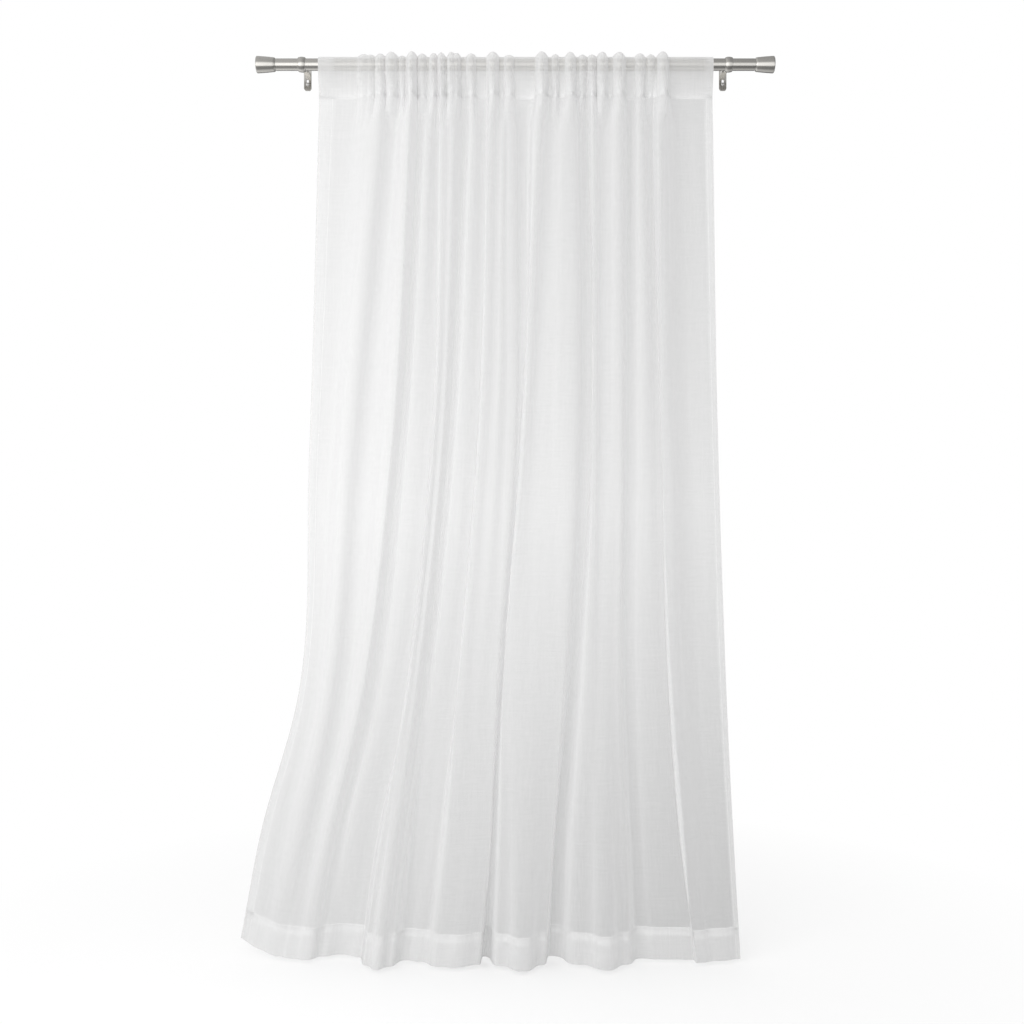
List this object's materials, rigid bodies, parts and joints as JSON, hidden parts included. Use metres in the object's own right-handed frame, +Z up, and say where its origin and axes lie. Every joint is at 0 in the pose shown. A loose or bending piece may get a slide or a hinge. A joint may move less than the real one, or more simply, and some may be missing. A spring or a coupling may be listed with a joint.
{
  "type": "sheer curtain panel on a curtain rod with wall brackets",
  "caption": "Sheer voile curtain panel gathered by its rod pocket on a straight metal rod with flared finials, held by wall brackets; screens a window while letting light through.",
  "frame": {"origin": "centre of the left bracket's wall plate, on the wall", "axes": "+X along the rod, left to right as seen from the room; +Y into the wall; +Z up"},
  "size_m": [1.2712, 0.1479, 2.1501],
  "materials": {
    "voile": "sheer off-white voile, matte",
    "satin_steel": "satin nickel",
    "screw_steel": "plated"
  },
  "bodies": {
    "root": {"curtain_panel": "voile", "rod_tube": "satin_steel", "finial_left": "satin_steel", "finial_right": "satin_steel", "bracket_left": "satin_steel", "bracket_right": "satin_steel", "wall_screw_left": "screw_steel", "wall_screw_right": "screw_steel"}
  },
  "joints": []
}
